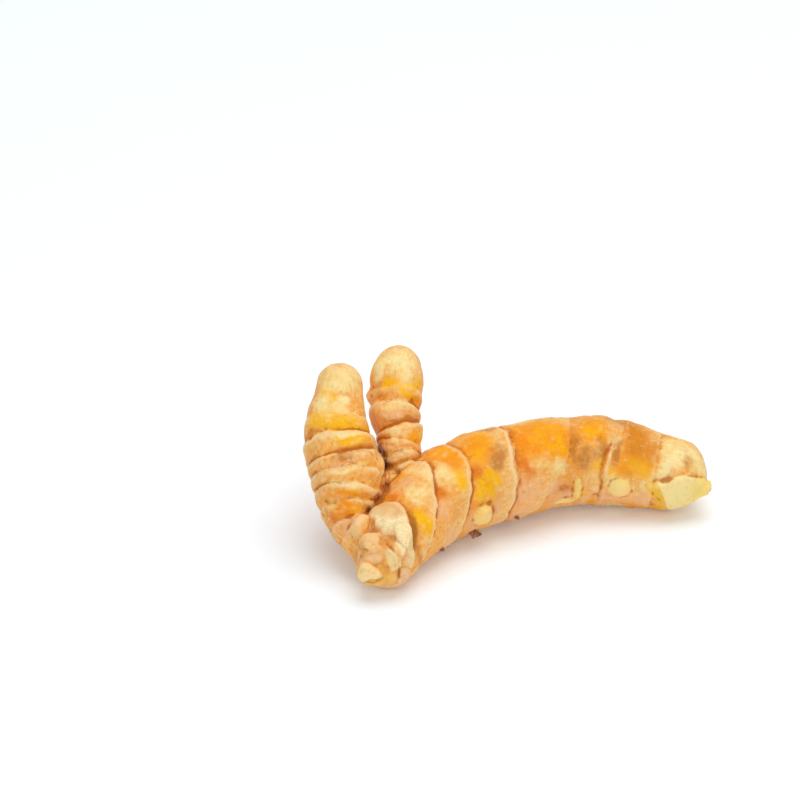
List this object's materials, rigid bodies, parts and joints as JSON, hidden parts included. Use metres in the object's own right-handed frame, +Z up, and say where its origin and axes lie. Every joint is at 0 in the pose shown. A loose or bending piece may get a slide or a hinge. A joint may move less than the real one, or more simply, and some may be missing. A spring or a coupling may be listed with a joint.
{
  "type": "turmeric root",
  "caption": "Bent, ringed turmeric rhizome with side fingers, small buds and a knobbly old end, lying as picked; a fresh spice root.",
  "frame": {"origin": "middle of the underside of the bounding box, on the surface that the root lies on", "axes": "+X along the main body from its old end to its growing tip, +Y to the back, towards which both fingers lean, +Z up"},
  "size_m": [0.095, 0.0583, 0.0389],
  "materials": {
    "skin": "thin satin plant skin: bright orange and peach, with pale cream rims at the rings and grey-brown patches"
  },
  "bodies": {
    "root": {"turmeric_root": "skin"}
  },
  "joints": []
}
